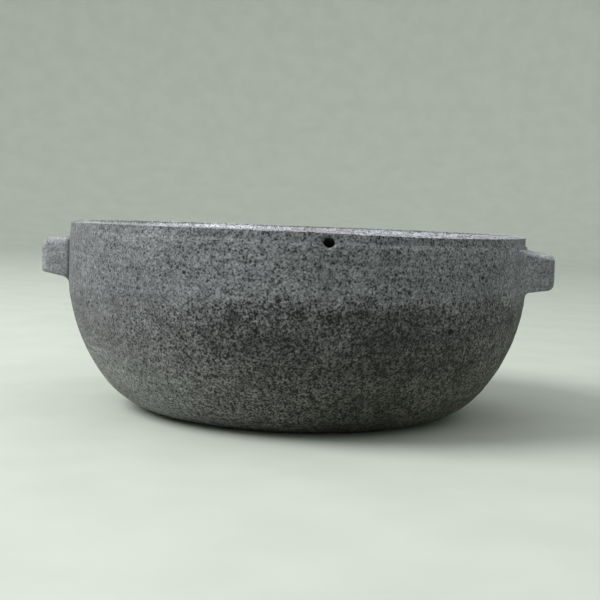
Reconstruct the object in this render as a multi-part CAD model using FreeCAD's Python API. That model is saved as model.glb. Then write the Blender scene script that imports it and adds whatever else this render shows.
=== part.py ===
"""Wide stone bowl with two lug handles and a steam vent, carved from one block.

Frame: millimetres, +Z up, origin at the centre of the flat base. The lugs lie on the X axis, and the vent is
in the wall on the -Y side. The block is written as three nodes, the bowl and its two lugs, which meet on the
wall's outer surface.
"""
import FreeCAD, Part
import math
import os

V = FreeCAD.Vector

# Bowl, outside. Depths are measured down from the rim, slopes are from the vertical.
HEIGHT = 80.5
RIM_RADIUS = 100.0
RIM_OUTER_BEVEL = 3.5  # how wide the outer part of the rim's top is that falls off outwards
RIM_OUTER_DROP = 0.6
RIM_OUTER_ARRIS = 0.3
NECK_HEIGHT = 4.2
BAND_RADIUS = 100.5  # the band that was ground after the flange between the lugs was taken off
BAND_CHAMFER = 0.5
BAND_DEPTH = 26.9
FLANK_ARC_RADIUS = 76.9
FLANK_START_SLOPE = 5.1
FLANK_END_SLOPE = 38.6
FOOT_ARC_RADIUS = 35.3

# Bowl, inside
WALL_THICKNESS = 9.5
RIM_INNER_STEP = 0.6
RIM_INNER_BEVEL = 3.0  # the 45 degree seat that a lid would lie on, below the step
BASE_THICKNESS = 11.0
INNER_ARC_RADIUS = 48.0
INNER_ARC_TURN = 55.0

# Lugs: two segments left standing from a turned flange
LUG_TIP_RADIUS = 112.7
LUG_HALF_WIDTH = 24.0
LUG_CORNER_ROUND = 2.5
LUG_UNDERSIDE_FILLET = 3.4
LUG_ROOT_BITE = 0.5  # the root fillets end this far inside the wall, so that no edge is feather thin

# The two lugs were finished by hand and differ. Depths are where the faces would meet the tip unrounded.
LUGS = {
    "right_lug": {
        "azimuth": 0.0,
        "top_depth": 7.8,
        "bottom_depth": 21.9,
        "top_slope": 8.5,
        "underside_slope": 7.3,
        "top_round": 2.6,
        "low_round": 2.0,
        "side_fillet": 13.0,
    },
    "left_lug": {
        "azimuth": 180.0,
        "top_depth": 8.9,
        "bottom_depth": 23.0,
        "top_slope": 3.5,
        "underside_slope": 9.8,
        "top_round": 3.0,
        "low_round": 1.3,
        "side_fillet": 1.5,
    },
}

# Steam vent, drilled down and inwards from the neck
VENT_RADIUS = 2.1
VENT_DEPTH = 3.8
VENT_SLOPE = 26.0
VENT_AZIMUTH = 12.8  # degrees from -Y towards +X


def deg_sin(angle):
    return math.sin(math.radians(angle))


def deg_cos(angle):
    return math.cos(math.radians(angle))


def line(start, end):
    return Part.LineSegment(start, end).toShape()


def arc(start, middle, end):
    return Part.Arc(start, middle, end).toShape()


def turning_arc(start, radius, slope, end_slope):
    """An arc in the XZ plane that leaves start going down and inwards at slope, and its end point."""

    def at(angle):
        inwards = radius * (deg_cos(slope) - deg_cos(angle))
        down = radius * (deg_sin(angle) - deg_sin(slope))
        return start + V(-inwards, 0, -down)

    end = at(end_slope)
    return arc(start, at((slope + end_slope) / 2), end), end


def corner_arc(corner, before, after, radius):
    """The arc that rounds a corner of the XZ or XY outline, with its two ends."""
    to_before = (before - corner).normalize()
    to_after = (after - corner).normalize()
    half = to_before.getAngle(to_after) / 2
    start = corner + to_before * (radius / math.tan(half))
    end = corner + to_after * (radius / math.tan(half))
    bisector = (to_before + to_after).normalize()
    middle = corner + bisector * (radius / math.sin(half) - radius)
    return arc(start, middle, end), start, end


def outer_edges():
    """The outside of the bowl in the XZ plane, from the outer edge of the rim's flat top down to the axis."""
    flat_edge = V(RIM_RADIUS - RIM_OUTER_BEVEL, 0, HEIGHT)
    rim_edge = V(RIM_RADIUS, 0, HEIGHT - RIM_OUTER_DROP)
    neck_end = V(RIM_RADIUS, 0, HEIGHT - NECK_HEIGHT)
    arris, arris_start, arris_end = corner_arc(rim_edge, flat_edge, neck_end, RIM_OUTER_ARRIS)
    band_top = V(BAND_RADIUS, 0, HEIGHT - NECK_HEIGHT - BAND_CHAMFER)
    crease = V(BAND_RADIUS, 0, HEIGHT - BAND_DEPTH)
    flank, flank_end = turning_arc(crease, FLANK_ARC_RADIUS, FLANK_START_SLOPE, FLANK_END_SLOPE)
    foot_end_slope = math.degrees(math.asin(deg_sin(FLANK_END_SLOPE) + flank_end.z / FOOT_ARC_RADIUS))
    foot, base_edge = turning_arc(flank_end, FOOT_ARC_RADIUS, FLANK_END_SLOPE, foot_end_slope)
    edges = [
        line(flat_edge, arris_start),
        arris,
        line(arris_end, neck_end),
        line(neck_end, band_top),
        line(band_top, crease),
        flank,
        foot,
        line(base_edge, V(0, 0, 0)),
    ]
    return edges, flat_edge


def inner_edges():
    """The inside of the bowl, from the rim's inner edge down to the axis."""
    radius = RIM_RADIUS - WALL_THICKNESS
    step_top = V(radius + RIM_INNER_BEVEL, 0, HEIGHT)
    bevel_top = V(radius + RIM_INNER_BEVEL, 0, HEIGHT - RIM_INNER_STEP)
    bevel_end = V(radius, 0, HEIGHT - RIM_INNER_STEP - RIM_INNER_BEVEL)
    wall_end = V(radius, 0, HEIGHT - BAND_DEPTH)
    side, side_end = turning_arc(wall_end, INNER_ARC_RADIUS, 0, INNER_ARC_TURN)
    floor_radius = (side_end.z - BASE_THICKNESS) / (1 - deg_sin(INNER_ARC_TURN))
    hollow, floor_edge = turning_arc(side_end, floor_radius, INNER_ARC_TURN, 90)
    edges = [
        line(step_top, bevel_top),
        line(bevel_top, bevel_end),
        line(bevel_end, wall_end),
        side,
        hollow,
        line(floor_edge, V(0, 0, BASE_THICKNESS)),
    ]
    return edges, step_top


def revolved(edges, start_angle=0.0, angle=360.0):
    """A solid turned about Z from a closed outline in the XZ plane."""
    face = Part.Face(Part.Wire(Part.__sortEdges__(edges)))
    face.rotate(V(0, 0, 0), V(0, 0, 1), start_angle)
    return face.revolve(V(0, 0, 0), V(0, 0, 1), angle)


def outer_form():
    """The bowl as a full block, with no hollow."""
    edges, rim = outer_edges()
    top_centre = V(0, 0, HEIGHT)
    return revolved(edges + [line(rim, top_centre), line(top_centre, V(0, 0, 0))])


def bowl_shell():
    outside, outer_rim = outer_edges()
    inside, inner_rim = inner_edges()
    rim = line(outer_rim, inner_rim)
    axis = line(V(0, 0, 0), V(0, 0, BASE_THICKNESS))
    return revolved(outside + inside + [rim, axis])


def vent_drill():
    outwards = V(deg_sin(VENT_AZIMUTH), -deg_cos(VENT_AZIMUTH), 0)
    mouth = outwards * RIM_RADIUS + V(0, 0, HEIGHT - VENT_DEPTH)
    direction = outwards * deg_cos(VENT_SLOPE) + V(0, 0, deg_sin(VENT_SLOPE))
    start = mouth - direction * 2 * WALL_THICKNESS
    return Part.makeCylinder(VENT_RADIUS, 3 * WALL_THICKNESS, start, direction)


def lug_flange(size):
    """The flange that a lug is left from, as a sector about +X, buried a little in the wall."""
    root = RIM_RADIUS - WALL_THICKNESS / 2
    wall = BAND_RADIUS - LUG_ROOT_BITE
    tip_top = V(LUG_TIP_RADIUS, 0, HEIGHT - size["top_depth"])
    tip_bottom = V(LUG_TIP_RADIUS, 0, HEIGHT - size["bottom_depth"])
    top_rise = (LUG_TIP_RADIUS - root) * math.tan(math.radians(size["top_slope"]))
    root_top = V(root, 0, tip_top.z + top_rise)
    under_drop = (LUG_TIP_RADIUS - wall) * math.tan(math.radians(size["underside_slope"]))
    under_root = V(wall, 0, tip_bottom.z - under_drop)
    below_root = under_root - V(0, 0, 2 * LUG_UNDERSIDE_FILLET)
    top_round, top_start, top_end = corner_arc(tip_top, root_top, tip_bottom, size["top_round"])
    low_round, low_start, low_end = corner_arc(tip_bottom, tip_top, under_root, size["low_round"])
    fillet, fillet_start, fillet_end = corner_arc(under_root, tip_bottom, below_root, LUG_UNDERSIDE_FILLET)
    inner_bottom = V(root, 0, fillet_end.z)
    edges = [
        line(root_top, top_start),
        top_round,
        line(top_end, low_start),
        low_round,
        line(low_end, fillet_start),
        fillet,
        line(fillet_end, inner_bottom),
        line(inner_bottom, root_top),
    ]
    return revolved(edges, -30, 60)


def lug_plan(side_fillet):
    """A lug seen from above, about +X, as a tall prism: straight sides, rounded corners, flared roots."""
    wall = BAND_RADIUS - LUG_ROOT_BITE
    corner_y = LUG_HALF_WIDTH - LUG_CORNER_ROUND
    corner = V(math.sqrt((LUG_TIP_RADIUS - LUG_CORNER_ROUND) ** 2 - corner_y**2), corner_y, 0)
    tip_end = corner * (LUG_TIP_RADIUS / corner.Length)
    side_end = V(corner.x, LUG_HALF_WIDTH, 0)
    corner_middle = corner + (tip_end + side_end - corner * 2).normalize() * LUG_CORNER_ROUND
    flare_y = LUG_HALF_WIDTH + side_fillet
    flare = V(math.sqrt((wall + side_fillet) ** 2 - flare_y**2), flare_y, 0)
    flare_start = V(flare.x, LUG_HALF_WIDTH, 0)
    flare_end = flare * (wall / flare.Length)
    flare_middle = flare + (flare_start + flare_end - flare * 2).normalize() * side_fillet
    inner_end = flare_end * ((wall - WALL_THICKNESS) / wall)

    def mirrored(point):
        return V(point.x, -point.y, point.z)

    edges = [arc(tip_end, V(LUG_TIP_RADIUS, 0, 0), mirrored(tip_end)), line(inner_end, mirrored(inner_end))]
    for side in (lambda point: point, mirrored):
        edges.append(arc(side(tip_end), side(corner_middle), side(side_end)))
        if side_end.x - flare_start.x > 0.01:
            edges.append(line(side(side_end), side(flare_start)))
        edges.append(arc(side(flare_start), side(flare_middle), side(flare_end)))
        edges.append(line(side(flare_end), side(inner_end)))
    face = Part.Face(Part.Wire(Part.__sortEdges__(edges)))
    return face.extrude(V(0, 0, HEIGHT))


def lug(size, block):
    shape = lug_flange(size).common(lug_plan(size["side_fillet"]))
    shape.rotate(V(0, 0, 0), V(0, 0, 1), size["azimuth"])
    return shape.cut(block).removeSplitter()


def main():
    block = outer_form()
    nodes = {"bowl_body": bowl_shell().cut(vent_drill())}
    for name, size in LUGS.items():
        nodes[name] = lug(size, block)
    os.makedirs("parts", exist_ok=True)
    for name, shape in nodes.items():
        shape.exportStep(f"parts/{name}.step")
        box = shape.BoundBox
        print(f"{name}: {len(shape.Solids)} solid, valid {shape.isValid()}, {shape.Volume:.0f} mm3, {box}")


main()
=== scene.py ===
"""The stone bowl's looks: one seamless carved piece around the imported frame, in a plain pale room.

Lengths are in millimetres and angles in degrees. The room, the light and the camera are in metres.
"""
import math

import bpy
import numpy as np
from mathutils import Matrix, Vector


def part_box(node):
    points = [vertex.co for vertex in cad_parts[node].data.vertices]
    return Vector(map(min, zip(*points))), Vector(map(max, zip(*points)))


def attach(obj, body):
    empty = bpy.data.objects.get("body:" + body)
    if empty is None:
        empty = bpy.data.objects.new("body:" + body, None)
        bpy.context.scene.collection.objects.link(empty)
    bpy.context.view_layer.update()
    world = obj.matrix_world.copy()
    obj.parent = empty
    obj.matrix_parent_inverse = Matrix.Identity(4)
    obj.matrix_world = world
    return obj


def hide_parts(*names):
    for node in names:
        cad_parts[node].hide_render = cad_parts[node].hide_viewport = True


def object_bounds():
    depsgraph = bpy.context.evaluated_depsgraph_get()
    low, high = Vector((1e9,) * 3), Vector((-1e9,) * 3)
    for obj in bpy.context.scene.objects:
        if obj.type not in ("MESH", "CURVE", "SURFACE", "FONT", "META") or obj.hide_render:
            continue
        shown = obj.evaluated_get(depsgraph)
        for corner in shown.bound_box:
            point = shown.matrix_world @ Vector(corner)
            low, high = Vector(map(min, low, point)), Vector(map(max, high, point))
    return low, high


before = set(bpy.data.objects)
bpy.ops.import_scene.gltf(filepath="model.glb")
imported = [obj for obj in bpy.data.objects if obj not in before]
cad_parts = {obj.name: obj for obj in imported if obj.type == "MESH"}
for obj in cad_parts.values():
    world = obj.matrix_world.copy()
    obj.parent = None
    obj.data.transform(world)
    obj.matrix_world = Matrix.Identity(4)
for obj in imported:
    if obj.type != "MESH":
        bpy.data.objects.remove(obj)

CAD_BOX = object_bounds()
MM = 0.001

# Bowl. The overall sizes come from the frame, and the rest are the design's own.
BOWL_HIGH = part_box("bowl_body")[1]
LUG_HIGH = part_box("right_lug")[1]
HEIGHT = BOWL_HIGH[2] / MM
BAND_RADIUS = BOWL_HIGH[0] / MM
LUG_TIP = LUG_HIGH[0] / MM
NECK_STEP = 0.5
RIM_RADIUS = BAND_RADIUS - NECK_STEP
RIM_BEVEL, RIM_DROP, RIM_ARRIS = 3.5, 0.6, 0.3  # the outer part of the rim's top, which falls off outwards
RIM_EDGE = RIM_DROP + RIM_ARRIS
NECK_HEIGHT, NECK_HOLLOW = 4.2, 0.12
BAND_TOP = 4.7
BAND_DEPTH = 26.9
FLANK_RADIUS, FLANK_SLOPES = 76.9, (5.1, 38.6)
FOOT_RADIUS = 35.3
WALL = 9.5
STEP, BEVEL = 0.6, 3.0  # inside the rim
STEP_CHAMFER, STEP_ROUND = 0.15, 0.08
BASE = 11.0
INNER_RADIUS, INNER_TURN = 48.0, 55.0

# Lugs, finished by hand, so that they differ and neither has quite the CAD's length. Angles are from +X,
# depths are where the faces would meet the tip if it weren't rounded, slopes are those of the top and of the
# underside, an edge is the round of a cross-section's corners, and a top fillet is its reach out and its rise.
LUG_HALF_WIDTH = 24.0
LUG_CORNER_ROUND = 2.5
LUG_LOW_EDGE = 1.0
LUG_UNDERSIDE_FILLET = 3.4
LUG_LENGTH = LUG_TIP - BAND_RADIUS
RIGHT_LUG = {
    "angle": 0,
    "length": LUG_LENGTH - 0.2,
    "depths": (7.8, 21.9),
    "slopes": (8.5, 7.3),
    "top_round": 2.6,
    "top_edge": 2.0,
    "low_round": 2.0,
    "top_fillet": (2.5, 0.8),
    "side_fillet": 13.0,
}
LEFT_LUG = {
    "angle": 180,
    "length": LUG_LENGTH + 0.45,
    "depths": (8.3, 23.0),
    "slopes": (3.5, 9.8),
    "top_round": 3.2,
    "top_edge": 2.8,
    "low_round": 1.3,
    "top_fillet": (1.0, 0.8),
    "side_fillet": 1.5,
}

# Vent, sloping down inwards. A wave of its broken edge is a share of its radius, a count in one turn and a
# phase in radians.
VENT_RADIUS, VENT_DEPTH, VENT_SLOPE, VENT_AZIMUTH = 2.1, 3.8, 26.0, 12.8
VENT_FALL = math.tan(math.radians(VENT_SLOPE))
VENT_MEAN = 1.02
VENT_WAVES = ((0.08, 2, 0), (0.04, 5, 1.6), (0.02, 3, 0))

# Natural pits that stand out: degrees from -Y towards +X, depth below the rim, radius
PITS = (
    (43, 36.5, 1.7),
    (27.5, 15, 1.2),
    (52, 16, 1.3),
    (53.5, 17.5, 1.1),
    (31, 21.5, 1.2),
    (-18, 17, 1.1),
    (-50, 32, 1.0),
    (105, 30, 1.6),
    (150, 41, 1.3),
    (-100, 22, 1.4),
    (-140, 38, 1.6),
)

# Mesh: columns round the bowl on the outside, a power of two times nine so that they can be halved inwards
COLUMNS = 576
ROW_STEP = 1.2
INNER_STEP = 2.0
BEVEL_STEP = 1.0
BASE_STEP = ROW_STEP * 1.5
VENT_COLUMNS = 4
LUG_FIRST_REACH = 0.3
LUG_WINDOW_MARGINS = (1, 1.5)  # how far a lug's window goes on beside and below its root fillets
SEED = 11


def sind(angle):
    return math.sin(math.radians(angle))


def cosd(angle):
    return math.cos(math.radians(angle))


# ---------------------------------------------------------------- noise in millimetres


def lattice(ix, iy, iz, seed):
    """A fixed value from -1 to 1 at each whole-number point, from a hash of its coordinates."""
    mask = 0xFFFFFFFF
    n = (ix * 73856093 ^ iy * 19349663 ^ iz * 83492791 ^ seed * 40503) & mask
    n = ((n ^ (n >> 15)) * 0x2C1B3C6D) & mask
    n = ((n ^ (n >> 12)) * 0x297A2D39) & mask
    return ((n ^ (n >> 15)) & 0xFFFF) / 32767.5 - 1.0


def noise(points, cell, seed):
    """Smooth value noise over points, with features of about cell."""
    scaled = points / cell
    base = np.floor(scaled).astype(np.int64)
    part = scaled - base
    part = part * part * (3 - 2 * part)
    total = np.zeros(len(points))
    for corner in range(8):
        step = np.array([corner & 1, corner >> 1 & 1, corner >> 2 & 1])
        weight = np.prod(np.where(step, part, 1 - part), axis=1)
        total += weight * lattice(*(base + step).T, seed)
    return total


def fractal(points, cell, octaves, seed):
    total = np.zeros(len(points))
    for octave in range(octaves):
        total += noise(points, cell / 2**octave, seed + octave) / 2**octave
    return total


def smooth(low, high, value):
    part = np.clip((value - low) / (high - low), 0, 1)
    return part * part * (3 - 2 * part)


# ---------------------------------------------------------------- the turned profile


def spaced(start, end, step):
    """Points from start to end, without start, about step apart."""
    count = max(1, round(math.dist(start, end) / step))
    return [tuple(start[k] + (end[k] - start[k]) * i / count for k in (0, 1)) for i in range(1, count + 1)]


def turning_arc(start, radius, slopes, step):
    """Points of an arc that goes down and inwards from start, between two slopes from the vertical."""
    count = max(1, round(radius * math.radians(slopes[1] - slopes[0]) / step))
    points = []
    for i in range(1, count + 1):
        slope = slopes[0] + (slopes[1] - slopes[0]) * i / count
        inwards = radius * (cosd(slopes[0]) - cosd(slope))
        down = radius * (sind(slope) - sind(slopes[0]))
        points.append((start[0] - inwards, start[1] - down))
    return points


def quarter_round(centre, radius, count=4):
    """Points of the rim's outer arris, from the falling top to the upright wall."""
    angles = [90 * i / count for i in range(1, count + 1)]
    return [(centre[0] + radius * sind(a), centre[1] + radius * cosd(a)) for a in angles]


def neck_radius(depth):
    """The neck under the rim is ground a little hollow."""
    share = (depth - RIM_EDGE) / (NECK_HEIGHT - RIM_EDGE)
    return RIM_RADIUS - NECK_HOLLOW * sind(180 * share)


def outer_profile():
    """Radius and height of each row from the middle of the rim down to the edge of the base."""
    rows = [(RIM_RADIUS - WALL / 2, HEIGHT)]
    rows += spaced(rows[-1], (RIM_RADIUS - RIM_BEVEL, HEIGHT), ROW_STEP)
    arris_start = (RIM_RADIUS - RIM_ARRIS, HEIGHT - RIM_DROP)
    rows += spaced(rows[-1], arris_start, ROW_STEP)
    rows += quarter_round((arris_start[0], HEIGHT - RIM_EDGE), RIM_ARRIS)
    rows += [(neck_radius(depth), HEIGHT - depth) for depth in OUTER_VENT_ROWS if depth <= NECK_HEIGHT]
    rows += [(BAND_RADIUS, HEIGHT - depth) for depth in OUTER_VENT_ROWS if depth > NECK_HEIGHT]
    rows += spaced(rows[-1], (BAND_RADIUS, HEIGHT - BAND_DEPTH), ROW_STEP)
    rows += turning_arc(rows[-1], FLANK_RADIUS, FLANK_SLOPES, ROW_STEP)
    end_slope = math.degrees(math.asin(sind(FLANK_SLOPES[1]) + rows[-1][1] / FOOT_RADIUS))
    rows += turning_arc(rows[-1], FOOT_RADIUS, (FLANK_SLOPES[1], end_slope), ROW_STEP)
    return rows


def inner_profile():
    """The same inside, but for the first row, in two lists: down past the vent, and on to the floor's edge."""
    inner = RIM_RADIUS - WALL
    edge = inner + BEVEL
    upper = spaced((RIM_RADIUS - WALL / 2, HEIGHT), (edge + STEP_CHAMFER, HEIGHT), ROW_STEP)
    upper += [(edge, HEIGHT - STEP_ROUND), (edge, HEIGHT - STEP + STEP_ROUND)]
    upper.append((edge - STEP_CHAMFER, HEIGHT - STEP - STEP_CHAMFER))
    upper += spaced(upper[-1], (inner, HEIGHT - STEP - BEVEL), BEVEL_STEP)
    upper += [(inner, HEIGHT - depth) for depth in INNER_VENT_ROWS]
    lower = spaced(upper[-1], (inner, HEIGHT - BAND_DEPTH), INNER_STEP)
    lower += turning_arc(lower[-1], INNER_RADIUS, (0, INNER_TURN), INNER_STEP)
    floor_radius = (lower[-1][1] - BASE) / (1 - sind(INNER_TURN))
    lower += turning_arc(lower[-1], floor_radius, (INNER_TURN, 90), INNER_STEP)
    return upper, lower


def disc_rows(edge_radius, z, columns, step):
    """Rows from the edge of a flat disc in to its centre, halving the columns as the rings get short."""
    smallest, crowded = 4 * step, 0.6 * step
    rows, radius = [], edge_radius
    while radius > smallest:
        spacing = 2 * math.pi * radius / columns
        if spacing < crowded and columns % 2 == 0:
            columns //= 2
            spacing *= 2
        radius -= max(step, spacing)
        rows.append((radius, z, columns))
    rows.append((0.0, z, 1))
    return rows


# Depths of the rows beside the vent on each face of the wall. A window of cells is cut for it, from FIRST on,
# and the rows between the WARP depths are bent to it.
OUTER_VENT_ROWS = (1.3, 2.1, 2.95, 3.6, NECK_HEIGHT, BAND_TOP, 6.25, 7.2, 8.2)
OUTER_VENT_FIRST = 0
INNER_VENT_ROWS = (4.7, 6.05, 6.85, 7.65, 8.43, 9.2, 10.0, 10.8, 11.9, 13.1)
INNER_VENT_FIRST = 1
VENT_CELLS = 6
OUTER_WARP = (RIM_EDGE + 0.01, 12)
INNER_WARP = (STEP + BEVEL + 0.01, 14)
WARP_ANGLE = 12  # how far round the bowl columns may be bent, each way
WARP_REACH = 2.4  # where the bending ends, as a multiple of the window's half width or height
OUTER = outer_profile()
OUTER_HEIGHTS = np.array([z for r, z in OUTER])[::-1]
OUTER_RADII = np.array([r for r, z in OUTER])[::-1]


def wall_radius(z):
    """The outside radius of the bowl at height z."""
    return np.interp(z, OUTER_HEIGHTS, OUTER_RADII)


class Mesh:
    """Vertices and faces gathered before they become one Blender mesh."""

    def __init__(self):
        self.points = []
        self.faces = []

    def add(self, points):
        first = len(self.points)
        self.points.extend(tuple(map(float, point)) for point in points)
        return list(range(first, first + len(points)))

    def join(self, upper, lower, skip=()):
        """Faces between two rings whose counts are the same or one to two, or between a ring and a centre."""
        if len(upper) == 1:
            self.faces += [(upper[0], lower[j], lower[(j + 1) % len(lower)]) for j in range(len(lower))]
        elif len(lower) == 1:
            self.faces += [(upper[j], lower[0], upper[(j + 1) % len(upper)]) for j in range(len(upper))]
        elif len(upper) == len(lower):
            for j in range(len(upper)):
                if j not in skip:
                    k = (j + 1) % len(upper)
                    self.faces.append((upper[j], lower[j], lower[k], upper[k]))
        elif 2 * len(upper) == len(lower):
            for j in range(len(upper)):
                k, a, b, c = (j + 1) % len(upper), 2 * j, 2 * j + 1, (2 * j + 2) % len(lower)
                self.faces.append((upper[j], lower[a], lower[b]))
                self.faces.append((upper[j], lower[b], upper[k]))
                self.faces.append((upper[k], lower[b], lower[c]))
        else:
            for j in range(len(lower)):
                k, a, b, c = (j + 1) % len(lower), 2 * j, 2 * j + 1, (2 * j + 2) % len(upper)
                self.faces.append((upper[a], lower[j], upper[b]))
                self.faces.append((upper[b], lower[j], lower[k]))
                self.faces.append((upper[b], lower[k], upper[c]))


# Columns are shifted so that one of them runs through the vent's middle
COLUMN_TURN = 360 / COLUMNS
VENT_ANGLE = VENT_AZIMUTH - 90
VENT_COLUMN = round(VENT_ANGLE / COLUMN_TURN)
FIRST_ANGLE = VENT_ANGLE - VENT_COLUMN * COLUMN_TURN


def vent_outline(angle):
    """The vent's radius in each direction: a drilled hole whose edge has broken out a little."""
    waves = sum(share * np.cos(count * angle + phase) for share, count, phase in VENT_WAVES)
    return VENT_RADIUS * (VENT_MEAN + waves)


def vent_warp(across, depth, outside):
    """Moves points of the wall, so that a rectangle of cells beside the vent takes on the vent's outline."""
    rows = OUTER_VENT_ROWS[OUTER_VENT_FIRST:] if outside else INNER_VENT_ROWS[INNER_VENT_FIRST:]
    centre = VENT_DEPTH if outside else VENT_DEPTH + WALL * VENT_FALL
    still = RIM_EDGE if outside else STEP + BEVEL
    up = centre - depth
    half_across = VENT_COLUMNS / 2 * math.radians(COLUMN_TURN) * RIM_RADIUS
    half_up = np.where(up > 0, centre - rows[0], rows[VENT_CELLS] - centre)
    a, b = across / half_across, up / half_up
    reach = np.maximum(np.maximum(abs(a), abs(b)), 1e-6)
    angle = np.arctan2(b, a)
    outline = vent_outline(angle)
    fade = np.clip((WARP_REACH - reach) / (WARP_REACH - 1), 0, 1)
    fade *= np.clip((depth - still) / (rows[0] - still), 0, 1)
    across = across + (outline * np.cos(angle) - across / reach) * fade
    up = up + (outline * np.sin(angle) - up / reach) * fade
    return across, centre - up


def ring(radius, z, columns, warp=False):
    """A row of points round the axis, bent beside the vent if it is warped."""
    if columns == 1:
        return np.array([[0.0, 0.0, z]])
    angles = np.radians(FIRST_ANGLE + 360 / columns * np.arange(columns))
    heights = np.full(columns, float(z))
    radii = np.full(columns, float(radius))
    if warp:
        outside = radius > RIM_RADIUS - WALL / 2
        offset = (angles - math.radians(VENT_ANGLE) + math.pi) % (2 * math.pi) - math.pi
        near = abs(offset) < math.radians(WARP_ANGLE)
        across, depth = vent_warp(offset[near] * RIM_RADIUS, np.full(near.sum(), HEIGHT - z), outside)
        angles[near] = math.radians(VENT_ANGLE) + across / RIM_RADIUS
        heights[near] = HEIGHT - depth
        if outside:
            radii[near] = wall_radius(heights[near])
    return np.stack([radii * np.cos(angles), radii * np.sin(angles), heights], axis=1)


def window_loop(rows, first_row, last_row, first_column, last_column):
    """The vertices round a window of cells: down its left side, along its foot, up its right and back."""
    n = COLUMNS
    left = [rows[i][first_column % n] for i in range(first_row, last_row)]
    foot = [rows[last_row][j % n] for j in range(first_column, last_column)]
    right = [rows[i][last_column % n] for i in range(last_row, first_row, -1)]
    top = [rows[first_row][j % n] for j in range(last_column, first_column, -1)]
    return left + foot + right + top


def window_places(height_cells, width_cells):
    """For each vertex of window_loop, its place across and up the window, from -1 to 1."""
    down = [1 - 2 * i / height_cells for i in range(height_cells)]
    along = [2 * j / width_cells - 1 for j in range(width_cells)]
    left = [(-1.0, v) for v in down]
    foot = [(u, -1.0) for u in along]
    right = [(1.0, -v) for v in down]
    top = [(-u, 1.0) for u in along]
    return np.array(left + foot + right + top)


# ---------------------------------------------------------------- lugs


def rounding(distance, radius):
    """How far a rounded edge has drawn in, at a distance from where its round starts."""
    part = np.clip(distance, 0, radius)
    return radius - math.sqrt(radius**2 - part**2)


def lug_section(size, reach):
    """The half width, top and bottom of a lug, at a distance out from the wall."""
    to_tip = size["length"] - reach
    half_width = LUG_HALF_WIDTH + rounding(size["side_fillet"] - reach, size["side_fillet"])
    half_width -= rounding(LUG_CORNER_ROUND - to_tip, LUG_CORNER_ROUND)
    top = HEIGHT - size["depths"][0] + to_tip * math.tan(math.radians(size["slopes"][0]))
    fillet, rise = size["top_fillet"]
    top += rounding(fillet - reach, fillet) * rise / fillet
    top -= rounding(size["top_round"] - to_tip, size["top_round"])
    bottom = HEIGHT - size["depths"][1] - to_tip * math.tan(math.radians(size["slopes"][1]))
    bottom -= rounding(LUG_UNDERSIDE_FILLET - reach, LUG_UNDERSIDE_FILLET)
    bottom += rounding(size["low_round"] - to_tip, size["low_round"])
    return half_width, top, bottom


def lug_points(size, places, reach):
    """Points of a lug's cross-section at one distance out: a rounded rectangle laid round the bowl."""
    half_width, top, bottom = lug_section(size, reach)
    half = np.array([half_width, (top - bottom) / 2])
    target = places * half
    edge = np.where(places[:, 1:] > 0, size["top_edge"], LUG_LOW_EDGE)
    core = half - edge
    inner = np.clip(target, -core, core)
    out = target - inner
    length = np.linalg.norm(out, axis=1)
    corner = (abs(target) > core).all(axis=1)
    out[corner] *= (edge[:, 0] / length)[corner, None]
    across, up = (inner + out).T
    z = (top + bottom) / 2 + up
    radius = wall_radius(z) + reach
    angle = np.arcsin(across / radius) + math.radians(size["angle"])
    return np.stack([radius * np.cos(angle), radius * np.sin(angle), z], axis=1)


def lug_reaches(size):
    """Distances out from the wall of a lug's rings, close together in the fillets and at the rounded tip."""
    length = size["length"]
    flare = [size["side_fillet"] * (1 - cosd(a)) for a in range(0, 91, 10)]
    even = [length * k / 10 for k in range(1, 9)]
    tip = [length - LUG_CORNER_ROUND * (1 - sind(a)) for a in range(15, 91, 15)]
    edge = [length - size["low_round"] * (1 - sind(a)) for a in (30, 60)]
    reaches = set(round(reach, 3) for reach in flare + [LUG_FIRST_REACH] + even + tip + edge)
    return sorted(reach for reach in reaches if reach <= round(length, 3))


def add_lug(mesh, rows, window, size):
    """Grows a lug from a window in the wall's rows."""
    first_row, last_row, first_column, last_column = window
    cells = (last_column - first_column, last_row - first_row)
    places = window_places(cells[1], cells[0])
    loop = window_loop(rows, *window)
    reaches = lug_reaches(size)
    for reach in reaches:
        following = mesh.add(lug_points(size, places, reach))
        mesh.join(following, loop)
        loop = following
    close_tip(mesh, size, reaches[-1], cells, dict(zip(map(tuple, places), loop)))


def close_tip(mesh, size, reach, cells, rim):
    """The end face of a lug, a grid of cells inside its last ring. Rim holds the ring's vertices by place."""
    grid = {}
    for place, vertex in rim.items():
        grid[tuple(np.rint((np.array(place) + 1) / 2 * cells).astype(int))] = vertex
    centre = lug_points(size, np.zeros((1, 2)), reach)[0]
    for i in range(1, cells[0]):
        for j in range(1, cells[1]):
            place = np.array([2 * i / cells[0] - 1, 2 * j / cells[1] - 1])
            share = abs(place).max()
            edge = lug_points(size, (place / max(share, 1e-9))[None], reach)[0]
            point = centre + (edge - centre) * share
            spread = (BAND_RADIUS + size["length"]) / math.hypot(point[0], point[1])
            grid[i, j] = mesh.add([(point[0] * spread, point[1] * spread, point[2])])[0]
    for i in range(cells[0]):
        for j in range(cells[1]):
            mesh.faces.append((grid[i, j], grid[i + 1, j], grid[i + 1, j + 1], grid[i, j + 1]))


# ---------------------------------------------------------------- the whole bowl


def row_at(profile, depth):
    """The index of the profile row nearest to a depth below the rim, on its upright part."""
    return min(range(len(profile)), key=lambda i: abs(profile[i][1] - (HEIGHT - depth)))


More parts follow.
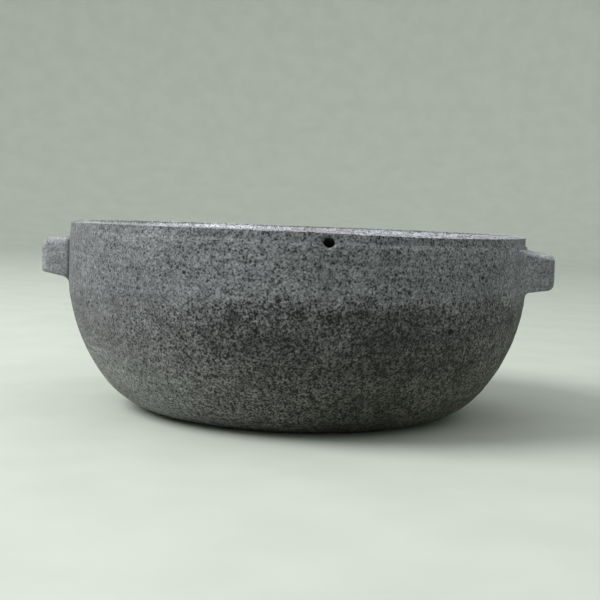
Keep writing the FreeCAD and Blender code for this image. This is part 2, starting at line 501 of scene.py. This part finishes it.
def lug_window(size):
    """The rows and columns of the wall that a lug takes the place of."""
    beside, below = LUG_WINDOW_MARGINS
    half_width = math.degrees(math.asin((LUG_HALF_WIDTH + size["side_fillet"] + beside) / BAND_RADIUS))
    drop = size["length"] * math.tan(math.radians(size["slopes"][1]))
    top = row_at(OUTER, BAND_TOP)
    bottom = row_at(OUTER, size["depths"][1] + drop + LUG_UNDERSIDE_FILLET + below)
    first = round((size["angle"] - half_width - FIRST_ANGLE) / COLUMN_TURN)
    last = round((size["angle"] + half_width - FIRST_ANGLE) / COLUMN_TURN)
    return top, bottom, first, last


def wall_row(mesh, radius, z, warp_depths):
    """A full row of vertices, which is bent beside the vent if it lies between two depths."""
    return mesh.add(ring(radius, z, COLUMNS, warp=warp_depths[0] < HEIGHT - z < warp_depths[1]))


def join_rows(mesh, rows, windows, inside=False):
    """Faces between rows that follow each other, apart from the cells of the windows."""
    for i, (row, following) in enumerate(zip(rows, rows[1:])):
        skip = {j % COLUMNS for a, b, c, d in windows if a <= i < b for j in range(c, d)}
        upper, lower = (following, row) if inside else (row, following)
        mesh.join(upper, lower, skip=skip)


def add_rows(mesh, row, rings, inside=False):
    """Carries a surface on from a row, through rings given as radius, height and columns."""
    for radius, z, columns in rings:
        following = mesh.add(ring(radius, z, columns))
        upper, lower = (following, row) if inside else (row, following)
        mesh.join(upper, lower)
        row = following


def bowl_mesh():
    """The bowl with its lugs and vent, before any wear."""
    mesh = Mesh()
    inner_upper, inner_lower = inner_profile()
    outer = [wall_row(mesh, r, z, OUTER_WARP) for r, z in OUTER]
    inner = [outer[0]] + [wall_row(mesh, r, z, INNER_WARP) for r, z in inner_upper]
    lugs = [(lug_window(size), size) for size in (RIGHT_LUG, LEFT_LUG)]
    vent_first = VENT_COLUMN - VENT_COLUMNS // 2
    outer_top = row_at(OUTER, OUTER_VENT_ROWS[OUTER_VENT_FIRST])
    inner_top = len(inner) - len(INNER_VENT_ROWS) + INNER_VENT_FIRST
    outer_vent = (outer_top, outer_top + VENT_CELLS, vent_first, vent_first + VENT_COLUMNS)
    inner_vent = (inner_top, inner_top + VENT_CELLS, vent_first, vent_first + VENT_COLUMNS)
    join_rows(mesh, outer, [window for window, size in lugs] + [outer_vent])
    join_rows(mesh, inner, [inner_vent], inside=True)
    for window, size in lugs:
        add_lug(mesh, outer, window, size)
    add_vent(mesh, window_loop(outer, *outer_vent), window_loop(inner, *inner_vent))
    lower = [(r, z, COLUMNS // 2) for r, z in inner_lower]
    floor = disc_rows(inner_lower[-1][0], BASE, COLUMNS // 2, INNER_STEP)
    add_rows(mesh, inner[-1], lower + floor, inside=True)
    add_rows(mesh, outer[-1], disc_rows(OUTER[-1][0], 0.0, COLUMNS, BASE_STEP))
    return mesh


# Rings of the vent's bore, as shares of the way in, and how much narrower it is than its two mouths
BORE_RINGS = (0.03, 0.1, 0.2, 0.35, 0.5, 0.65, 0.8, 0.92, 0.97)
BORE_NARROWING = 0.94


def add_vent(mesh, outside, inside):
    """The bore of the vent, from the loop in the outer face to the one in the inner face."""
    start = np.array([mesh.points[v] for v in outside])
    end = np.array([mesh.points[v] for v in inside])
    loop = outside
    for share in BORE_RINGS:
        centre = start.mean(axis=0) * (1 - share) + end.mean(axis=0) * share
        points = start + (end - start) * share
        following = mesh.add(centre + (points - centre) * BORE_NARROWING)
        mesh.join(following, loop)
        loop = following
    mesh.join(inside, loop)


def used_only(points, faces):
    """Drops the points that no face uses."""
    used = np.unique(np.concatenate([np.array(face) for face in faces]))
    place = np.full(len(points), -1)
    place[used] = np.arange(len(used))
    return points[used], [tuple(int(place[v]) for v in face) for face in faces]


def build(name, points, faces):
    data = bpy.data.meshes.new(name)
    data.from_pydata([tuple(p) for p in points * MM], [], faces)
    data.validate()
    data.update()
    data.shade_smooth()
    piece = bpy.data.objects.new(name, data)
    bpy.context.collection.objects.link(piece)
    return piece


# ---------------------------------------------------------------- wear, and where the stone's looks change

# The numbers that smooth and between are given here are the azimuths, depths and radii at which a mark, a tone
# or a patch of painted light or shade of this bowl starts and ends. Azimuths go from -Y towards +X.


def between(value, a, b, c, d):
    """Rises softly from 0 to 1 as value goes from a to b, and falls back to 0 from c to d."""
    return smooth(a, b, value) * smooth(d, c, value)


def vertex_vectors(data, name):
    values = np.empty(len(data.vertices) * 3)
    data.vertices.foreach_get(name, values)
    return values.reshape(-1, 3)


class Surface:
    """The clean mesh's vertices in millimetres, and where on the bowl each of them is."""

    def __init__(self, data):
        self.points = vertex_vectors(data, "co") / MM
        self.normals = vertex_vectors(data, "normal")
        self.x, self.y, self.z = self.points.T
        self.radius = np.hypot(self.x, self.y)
        self.depth = HEIGHT - self.z
        self.azimuth = np.degrees(np.arctan2(self.x, -self.y))
        self.outside = (self.radius > wall_radius(self.z) - WALL / 2) | (self.z < BASE / 2)
        self.on_lug = smooth(BAND_RADIUS + 0.6, BAND_RADIUS + 3, self.radius)
        self.clouds = noise(self.points, 24, SEED + 40)
        ragged = 3.5 * self.clouds + 2.5 * noise(self.points, 8, SEED + 43)
        self.below_band = smooth(BAND_DEPTH - 5, BAND_DEPTH + 5, self.depth + ragged) * self.outside


def pit_centres():
    """Where the pits are on the clean surface, with their radii."""
    centres = []
    for azimuth, depth, radius in PITS:
        wall = float(wall_radius(HEIGHT - depth))
        centres.append((Vector((wall * sind(azimuth), -wall * cosd(azimuth), HEIGHT - depth)), radius))
    return centres


def painted_corner_shade(s):
    """1 in the sharp upright corners where the left lug leaves the wall, where shade is painted in, and 0
    elsewhere.
    """
    side = LUG_HALF_WIDTH
    beside = between(abs(s.y), side - 1.2, side - 0.2, side + 2, side + 4.5)
    reach = smooth(BAND_RADIUS + 1.7, BAND_RADIUS + 0.6, s.radius) * (s.radius > RIM_RADIUS - 1)
    return beside * reach * between(s.depth, 6.5, 9.5, 24, 28) * (s.x < 0)


def bore_share(s):
    """1 on the vent's own wall, where shade is painted almost black, and 0 elsewhere."""
    from_vent = np.radians(s.azimuth - VENT_AZIMUTH) * s.radius
    slack = np.minimum(s.radius - (RIM_RADIUS - WALL), RIM_RADIUS - NECK_HOLLOW - s.radius)
    from_middle = s.depth - VENT_DEPTH - (RIM_RADIUS - s.radius) * VENT_FALL
    return smooth(0.05, 0.4, slack) * (abs(from_vent) < 3) * (abs(from_middle) < 2.9)


def tones_and_shade(s):
    """How dark, warm and speckled the stone is. The darkness is partly its own tone and partly painted shade
    and light: below the band it is darkest on the right and is made paler low on the left, and the band
    darkens towards the right.
    """
    low_down = smooth(40, 64, s.depth)
    back = smooth(175, 120, s.azimuth)
    right = smooth(0, 1, (s.azimuth + 6 * s.clouds + 42) / (38 + 14 * low_down)) * back
    left_tone = 0.28 - 0.88 * low_down
    right_tone = 1 + 0.28 * between(s.azimuth, 12, 28, 32, 46) - 0.2 * smooth(46, 64, s.azimuth)
    right_tone += 0.18 * between(s.azimuth, -8, 8, 48, 60) * between(s.depth, 33, 39, 50, 59)
    dark = s.below_band * (left_tone + right * (right_tone - left_tone))
    on_band = 0.1 * smooth(0, 50, s.azimuth) * back
    on_band += 0.2 * between(s.azimuth, -46, -32, -20, -5) * smooth(14, 23, s.depth)
    dark += on_band * (1 - s.below_band) * s.outside
    warm = smooth(14, 74, s.depth) * s.outside * (0.35 + 0.65 * smooth(-30, 50, s.azimuth) * back)
    lug_side = smooth(RIM_RADIUS * 0.86, RIM_RADIUS * 0.98, abs(s.x)) * smooth(30, 24, s.depth) * s.outside
    speckle = (0.8 + 0.22 * right + s.below_band * (0.05 + 0.85 * right)) * (1 - 0.35 * lug_side)
    return dark, warm, speckle


def painted_highlights(s):
    """Painted highlights: faces that look up, the lugs' faces (the left lug's more), the left half of the
    rim's inner step and a ridge under the rim on the right; and a paler patch beside the right lug.
    """
    upward = smooth(0.35 - 0.2 * s.on_lug, 0.75 - 0.3 * s.on_lug, s.normals[:, 2]) * smooth(14, 12, s.depth)
    left_end = between(s.azimuth, -130, -100, -68, -50) * (1 - s.on_lug)
    left_side = between(s.azimuth, -178, -130, -15, 15)
    rim_share = (1 - 0.85 * left_end) * (1 - 0.2 * left_side)
    upward *= np.where(s.on_lug > 0.5, 1.15 - 0.6 * left_side, rim_share)
    pale = np.maximum(upward, s.on_lug * np.where(s.x < 0, 0.47, 0.26))
    seat = s.radius < RIM_RADIUS - WALL + BEVEL + 0.3
    pale += 2.0 * seat * smooth(5, 4, s.depth) * smooth(0, -60, s.x)
    beside = between(s.azimuth, 50, 68, 110, 140) * smooth(32, 22, s.depth)
    pale += 0.2 * beside * (1 - s.on_lug) * s.outside
    ridge = between(s.depth, 3.5, 4.5, 5.2, 6.6) * between(s.azimuth, 18, 30, 52, 64)
    return pale + 0.35 * ridge * s.outside


# Relief: how deep each kind is, and how large its features are
UNEVEN_DEPTH, UNEVEN_SIZE = 0.14, 28
RIPPLE_DEPTH, RIPPLE_SIZE = 0.07, 7
TURNING_DEPTH, TURNING_SIZE = 0.05, 1.6
GRAIN_DEPTH, LOW_GRAIN_DEPTH, GRAIN_SIZE = 0.03, 0.05, 2.3
CHIP_DEPTH, CHIP_SIZE = 0.3, 2.6
PIT_DEPTH = 0.6  # as a share of a pit's radius
SWEEP_PER_DEGREE = 0.1  # turning marks run round the bowl, so their noise changes slowly that way


def relief(s):
    """How far each vertex moves out: unevenness, turning marks, grain, chips of the rim's arris and pits."""
    sweep = np.stack([np.zeros_like(s.z), s.z, s.azimuth * SWEEP_PER_DEGREE], axis=1)
    offset = UNEVEN_DEPTH * noise(s.points, UNEVEN_SIZE, SEED)
    offset += RIPPLE_DEPTH * fractal(s.points, RIPPLE_SIZE, 2, SEED + 3)
    offset += TURNING_DEPTH * noise(sweep, TURNING_SIZE, SEED + 7) * (1 - 0.5 * s.below_band)
    offset += (GRAIN_DEPTH + LOW_GRAIN_DEPTH * s.below_band) * noise(s.points, GRAIN_SIZE, SEED + 9)
    on_base = s.z < 0.5
    offset[on_base] = np.minimum(offset[on_base], 0)
    arris = smooth(2.0, 0.8, s.depth) * smooth(RIM_RADIUS - 2, RIM_RADIUS - 0.6, s.radius)
    offset -= arris * smooth(0.35, 0.9, noise(s.points, CHIP_SIZE, SEED + 21)) * CHIP_DEPTH
    for centre, radius in pit_centres():
        share = 1 - np.linalg.norm(s.points - np.array(centre), axis=1) / radius
        offset -= radius * PIT_DEPTH * smooth(0, 1, share)
    return offset


# How much the outer part of the rim's top falls, by azimuth
RIM_DROPS = (
    (-180, 0.6),
    (-120, 0.7),
    (-78, 1.1),
    (-50, 0.5),
    (-26, 0.2),
    (8, 0.25),
    (36, 1.0),
    (85, 0.7),
    (180, 0.6),
)
NECK_TAPER = 0.35  # how far the left side still draws in towards the rim
NECK_DEEPER = 0.28  # how much deeper the step under the rim is on the right
TAPER_DEPTH = 9.5


def eccentric_neck(s, points):
    """The rim was turned off centre: the step below it is deepest on the right and fades on the left."""
    right = 0.5 + 0.5 * np.sin(np.radians(s.azimuth + 20))
    taper = BAND_RADIUS - NECK_TAPER * smooth(TAPER_DEPTH, 0, s.depth)
    taper -= wall_radius(HEIGHT - np.maximum(s.depth, RIM_EDGE))
    step = -NECK_DEEPER * smooth(BAND_TOP, NECK_HEIGHT, s.depth)
    share = between(s.radius, RIM_RADIUS - 4, RIM_RADIUS - 0.8, BAND_RADIUS + 0.4, BAND_RADIUS + 2)
    shift = share * (s.depth < TAPER_DEPTH) * ((1 - right) * taper + right * step)
    grown = 1 + shift / np.maximum(s.radius, 1)
    moved = points * np.stack([grown, grown, np.ones_like(grown)], axis=1)
    drop = np.interp(s.azimuth, *zip(*RIM_DROPS)) - RIM_DROP
    outwards = np.clip((s.radius - RIM_RADIUS + RIM_BEVEL) / (RIM_BEVEL - RIM_ARRIS), 0, 1)
    moved[:, 2] -= drop * outwards * smooth(3.4, RIM_EDGE, s.depth) * (s.radius < BAND_RADIUS + 0.3)
    return moved


def weather(piece):
    """Gives the clean shape the marks of its making, and gives its material the place of every tone and of its
    painted light and shade.
    """
    data = piece.data
    s = Surface(data)
    dark, warm, speckle = tones_and_shade(s)
    shares = {
        "dark": dark,
        "warm": warm,
        "speckle": speckle,
        "pale": painted_highlights(s),
        "bore": bore_share(s),
        "corner_shade": painted_corner_shade(s),
    }
    points = eccentric_neck(s, s.points + s.normals * relief(s)[:, None])
    data.vertices.foreach_set("co", (points * MM).ravel())
    for name, values in shares.items():
        layer = data.attributes.new(name, "FLOAT", "POINT")
        layer.data.foreach_set("value", values.astype(np.float32))
    data.update()


# ---------------------------------------------------------------- materials


class Nodes:
    """Short ways to add and join the nodes of one material."""

    def __init__(self, name):
        self.material = bpy.data.materials.new(name)
        self.material.use_nodes = True
        self.tree = self.material.node_tree
        self.shader = next(n for n in self.tree.nodes if n.type == "BSDF_PRINCIPLED")

    def add(self, kind, **settings):
        node = self.tree.nodes.new(kind)
        for name, value in settings.items():
            setattr(node, name, value)
        return node

    def link(self, source, target):
        self.tree.links.new(source, target)

    def feed(self, socket, value):
        """Sets a socket to a value, or joins it to another node's output."""
        if hasattr(value, "is_output"):
            self.link(value, socket)
        else:
            socket.default_value = value

    def coordinates(self):
        """The object's own coordinates, in millimetres."""
        source = self.add("ShaderNodeTexCoord").outputs["Object"]
        scale = self.add("ShaderNodeVectorMath", operation="SCALE")
        self.link(source, scale.inputs[0])
        scale.inputs["Scale"].default_value = 1 / MM
        return scale.outputs[0]

    def stretched(self, vector, factors):
        node = self.add("ShaderNodeVectorMath", operation="MULTIPLY")
        self.link(vector, node.inputs[0])
        node.inputs[1].default_value = factors
        return node.outputs[0]

    def noise(self, vector, cell, detail=2.0, roughness=0.5):
        node = self.add("ShaderNodeTexNoise")
        self.link(vector, node.inputs["Vector"])
        node.inputs["Scale"].default_value = 1 / cell
        node.inputs["Detail"].default_value = detail
        node.inputs["Roughness"].default_value = roughness
        return node.outputs["Fac"]

    def cells(self, vector, cell):
        node = self.add("ShaderNodeTexVoronoi", feature="F1")
        self.link(vector, node.inputs["Vector"])
        node.inputs["Scale"].default_value = 1 / cell
        return node

    def math(self, operation, a, b):
        node = self.add("ShaderNodeMath", operation=operation)
        self.feed(node.inputs[0], a)
        self.feed(node.inputs[1], b)
        return node.outputs[0]

    def plus(self, a, b):
        return self.math("ADD", a, b)

    def minus(self, a, b):
        return self.math("SUBTRACT", a, b)

    def times(self, a, b):
        return self.math("MULTIPLY", a, b)

    def larger(self, a, b):
        return self.math("MAXIMUM", a, b)

    def ramp(self, value, low, high, start=0.0, end=1.0):
        """Maps low..high smoothly to start..end."""
        node = self.add("ShaderNodeMapRange", interpolation_type="SMOOTHSTEP")
        self.feed(node.inputs["Value"], value)
        node.inputs["From Min"].default_value = low
        node.inputs["From Max"].default_value = high
        node.inputs["To Min"].default_value = start
        node.inputs["To Max"].default_value = end
        return node.outputs["Result"]

    def mix(self, share, first, second):
        node = self.add("ShaderNodeMix", data_type="RGBA")
        self.feed(node.inputs["Factor"], share)
        self.feed(node.inputs["A"], first)
        self.feed(node.inputs["B"], second)
        return node.outputs["Result"]

    def attribute(self, name):
        return self.add("ShaderNodeAttribute", attribute_name=name).outputs["Fac"]

    def bump(self, height, strength, distance):
        node = self.add("ShaderNodeBump")
        self.link(height, node.inputs["Height"])
        node.inputs["Strength"].default_value = strength
        node.inputs["Distance"].default_value = distance
        return node.outputs["Normal"]


# Stone. Sizes are those of the features, and ranges, losses and gains are factors of the brightness.
STONE_ALBEDO = 0.123
COOL_TINT, WARM_TINT = (0.985, 1.0, 1.07, 1), (1.035, 1.0, 0.84, 1)
# Of these, the first loss is partly painted shade, the gain paints highlights, the next loss paints shade into
# the left lug's corners, and the last paints shade into the vent and the pits.
DARK_LOSS, HIGHLIGHT_GAIN, CORNER_SHADE_LOSS, HOLE_SHADE_LOSS = 0.5, 1.3, 0.7, 0.9
CLOUD_SIZE, CLOUD_RANGE = 18, (0.84, 1.16)
SWEEP_SIZE, SWEEP_RANGE, SWEEP_SQUEEZE = 1.4, (1.12, 0.88), (0.04, 0.04, 1.0)
PATCH_SIZE, PATCH_RANGE = 7, (0.4, 1.9)
FINE_SIZE, FINE_GAIN = 0.8, 4.3
MIDDLE_SIZE, MIDDLE_GAIN = 2.0, 2.3
SMALL_SPECK, SMALL_REACH, SMALL_LOSS = 1.5, 0.26, 0.8
LARGE_SPECK, LARGE_REACH, LARGE_LOSS = 2.7, 0.2, 0.5
GRAIN_LEVEL, GRAIN_FLOOR = 1.25, 0.12
STONE_SPECULAR, STONE_ROUGHNESS = 0.35, (0.68, 0.88)
BUMP_STRENGTH, BUMP_DEPTH = 0.5, 0.4 * MM


def specks(n, place, cell, reach):
    """Scattered dark grains of varied sizes: 1 in the middle of a grain, 0 between them."""
    grains = n.cells(place, cell)
    size = n.add("ShaderNodeSeparateColor")
    n.link(grains.outputs["Color"], size.inputs[0])
    distance = n.minus(grains.outputs["Distance"], n.times(size.outputs[0], 0.25))
    ragged = n.times(n.noise(place, cell * 0.4, 1), 0.3)
    return n.ramp(n.plus(distance, ragged), reach + 0.1, reach - 0.12)


def pits(n, place):
    """1 inside the pits that stand out, 0 elsewhere: where shade is painted dark, and where the bump sinks the
    surface.
    """
    ragged = n.times(n.noise(place, 1.2, 2), 0.9)
    inside = None
    for centre, radius in pit_centres():
        away = n.add("ShaderNodeVectorMath", operation="DISTANCE")
        n.link(place, away.inputs[0])
        away.inputs[1].default_value = centre
        edge = n.ramp(n.plus(away.outputs["Value"], ragged), radius + 0.35, radius - 0.25)
        inside = edge if inside is None else n.larger(inside, edge)
    return inside


def stone_ground(n, place):
    """The stone's brightness without its grain: darker and patchier low down and towards the right, partly
    painted shade, paler where highlights are painted, and with painted shade in the left lug's corners.
    """
    # partly the stone's own tone and partly painted shade: darker below the band and to the right, lighter low
    # on the left
    dark = n.attribute("dark")
    level = n.minus(1.0, n.times(dark, DARK_LOSS))
    # painted highlights on faces that look up, on the lugs and along the rim
    level = n.times(level, n.plus(1.0, n.times(n.attribute("pale"), HIGHLIGHT_GAIN)))
    # painted shade in the upright corners beside the left lug
    level = n.times(level, n.minus(1.0, n.times(n.attribute("corner_shade"), CORNER_SHADE_LOSS)))
    level = n.times(level, n.ramp(n.noise(place, CLOUD_SIZE, 3, 0.6), 0.25, 0.75, *CLOUD_RANGE))
    turning = n.noise(n.stretched(place, SWEEP_SQUEEZE), SWEEP_SIZE, 3, 0.6)
    level = n.times(level, n.ramp(turning, 0.3, 0.7, *SWEEP_RANGE))
    patches = n.minus(n.noise(place, PATCH_SIZE, 3, 0.6), 0.5)
    patches = n.times(patches, n.ramp(dark, 0, 1, *PATCH_RANGE))
    return n.times(level, n.plus(1.0, patches))


def stone_grain(n, place, fine, small, large):
    """The factor of brightness that the grain and the specks give."""
    middle = n.noise(place, MIDDLE_SIZE, 2, 0.6)
    grain = n.times(n.minus(fine, 0.5), FINE_GAIN)
    grain = n.plus(grain, n.times(n.minus(middle, 0.5), MIDDLE_GAIN))
    grain = n.minus(grain, n.times(small, SMALL_LOSS))
    grain = n.minus(grain, n.times(large, LARGE_LOSS))
    grain = n.plus(GRAIN_LEVEL, n.times(grain, n.attribute("speckle")))
    return n.larger(grain, GRAIN_FLOOR)


def stone_material():
    """Carved stone: a grey ground full of dark grains, with open pits; shade is painted into the pits and the
    vent.
    """
    n = Nodes("speckled_stone")
    place = n.coordinates()
    fine = n.noise(place, FINE_SIZE, 1, 0.6)
    small = specks(n, place, SMALL_SPECK, SMALL_REACH)
    large = specks(n, place, LARGE_SPECK, LARGE_REACH)
    hole = n.larger(pits(n, place), n.times(n.attribute("bore"), 0.97))
    level = n.times(stone_ground(n, place), stone_grain(n, place, fine, small, large))
    # painted shade in the pits and down the vent's bore
    level = n.times(level, n.minus(1.0, n.times(hole, HOLE_SHADE_LOSS)))
    colour = n.add("ShaderNodeVectorMath", operation="SCALE")
    n.link(n.mix(n.attribute("warm"), COOL_TINT, WARM_TINT), colour.inputs[0])
    n.link(n.times(level, STONE_ALBEDO), colour.inputs["Scale"])
    n.link(colour.outputs[0], n.shader.inputs["Base Color"])
    n.link(n.ramp(fine, 0.3, 0.7, *STONE_ROUGHNESS), n.shader.inputs["Roughness"])
    n.shader.inputs["Specular IOR Level"].default_value = STONE_SPECULAR
    height = n.minus(n.times(fine, 0.6), n.times(small, 0.35))
    height = n.minus(height, n.larger(n.times(large, 0.4), hole))
    n.link(n.bump(height, BUMP_STRENGTH, BUMP_DEPTH), n.shader.inputs["Normal"])
    return n.material


FLOOR_COLOURS = ((0.52, 0.56, 0.50, 1), (0.55, 0.59, 0.53, 1))
FLOOR_CLOUD_SIZE = 40  # in millimetres, as in every material
FLOOR_SPECULAR, FLOOR_ROUGHNESS = 0.2, 0.9


def floor_material():
    n = Nodes("pale_floor")
    clouds = n.noise(n.coordinates(), FLOOR_CLOUD_SIZE, 3)
    n.link(n.mix(n.ramp(clouds, 0.3, 0.7), *FLOOR_COLOURS), n.shader.inputs["Base Color"])
    n.shader.inputs["Roughness"].default_value = FLOOR_ROUGHNESS
    n.shader.inputs["Specular IOR Level"].default_value = FLOOR_SPECULAR
    return n.material


# ---------------------------------------------------------------- room, light and camera

FLOOR_RADIUS = 1.8
SWEEP_RADIUS = 0.8
WALL_TOP = 1.6
FLOOR_SEGMENTS = 96
FLOOR_RINGS, SWEEP_RINGS = 4, 12


def room():
    """A round floor that curves up into a wall on every side."""
    profile = [(FLOOR_RADIUS * k / FLOOR_RINGS, 0.0) for k in range(1, FLOOR_RINGS + 1)]
    for k in range(1, SWEEP_RINGS + 1):
        turn = 90 * k / SWEEP_RINGS
        profile.append((FLOOR_RADIUS + SWEEP_RADIUS * sind(turn), SWEEP_RADIUS * (1 - cosd(turn))))
    profile.append((FLOOR_RADIUS + SWEEP_RADIUS, WALL_TOP))
    mesh = Mesh()
    turns = [2 * math.pi * k / FLOOR_SEGMENTS for k in range(FLOOR_SEGMENTS)]
    inner = mesh.add([(0.0, 0.0, 0.0)])
    for radius, z in profile:
        row = mesh.add([(radius * math.cos(t) / MM, radius * math.sin(t) / MM, z / MM) for t in turns])
        mesh.join(inner, row)
        inner = row
    floor = build("floor", np.array(mesh.points), mesh.faces)
    floor.data.materials.append(floor_material())


# One soft key light from the left, placed from the camera's side of the bowl, and an even pale sky
KEY_PLACE = (-1.05, -0.3, 1.0)
KEY_SIZE, KEY_POWER = 0.9, 21
SKY_COLOUR, SKY_STRENGTH = (0.98, 0.99, 1.0, 1), 0.83


def key_light():
    data = bpy.data.lights.new("key", "AREA")
    data.shape = "DISK"
    data.size = KEY_SIZE
    data.energy = KEY_POWER
    lamp = bpy.data.objects.new("key", data)
    bpy.context.collection.objects.link(lamp)
    lamp.location = Matrix.Rotation(math.radians(YAW), 3, "Z") @ Vector(KEY_PLACE)
    lamp.rotation_mode = "QUATERNION"
    centre = (CAD_BOX[0] + CAD_BOX[1]) / 2
    lamp.rotation_quaternion = (centre - lamp.location).to_track_quat("-Z", "Y")


def sky():
    world = bpy.data.worlds.new("studio")
    bpy.context.scene.world = world
    world.use_nodes = True
    background = world.node_tree.nodes["Background"]
    background.inputs["Color"].default_value = SKY_COLOUR
    background.inputs["Strength"].default_value = SKY_STRENGTH


# Camera: where it stands, from the bowl's axis and the rim, and how it is turned
DISTANCE = 0.5
CAMERA_ABOVE_RIM = 0.0054
YAW = 6.5
PAN = 0.178
PITCH = 4.33
ROLL = 2.12
FIELD_OF_VIEW = 30.17


def camera():
    data = bpy.data.cameras.new("camera")
    data.sensor_fit = "HORIZONTAL"
    data.angle = math.radians(FIELD_OF_VIEW)
    data.clip_start = 0.01
    data.clip_end = 20
    shot = bpy.data.objects.new("camera", data)
    bpy.context.collection.objects.link(shot)
    place = (DISTANCE * sind(YAW), -DISTANCE * cosd(YAW), HEIGHT * MM + CAMERA_ABOVE_RIM)
    turn = Matrix.Rotation(math.radians(YAW - PAN), 4, "Z")
    tilt = Matrix.Rotation(math.radians(90 - PITCH), 4, "X")
    roll = Matrix.Rotation(math.radians(ROLL), 4, "Z")
    shot.matrix_world = Matrix.Translation(place) @ turn @ tilt @ roll
    bpy.context.scene.camera = shot


def bowl():
    mesh = bowl_mesh()
    points, faces = used_only(np.array(mesh.points), mesh.faces)
    piece = build("stone_bowl", points, faces)
    weather(piece)
    piece.data.materials.append(stone_material())
    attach(piece, "root")
    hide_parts("bowl_body", "left_lug", "right_lug")


def main():
    camera()
    bowl()
    room()
    key_light()
    sky()
    bpy.context.scene.view_settings.view_transform = "Standard"


main()
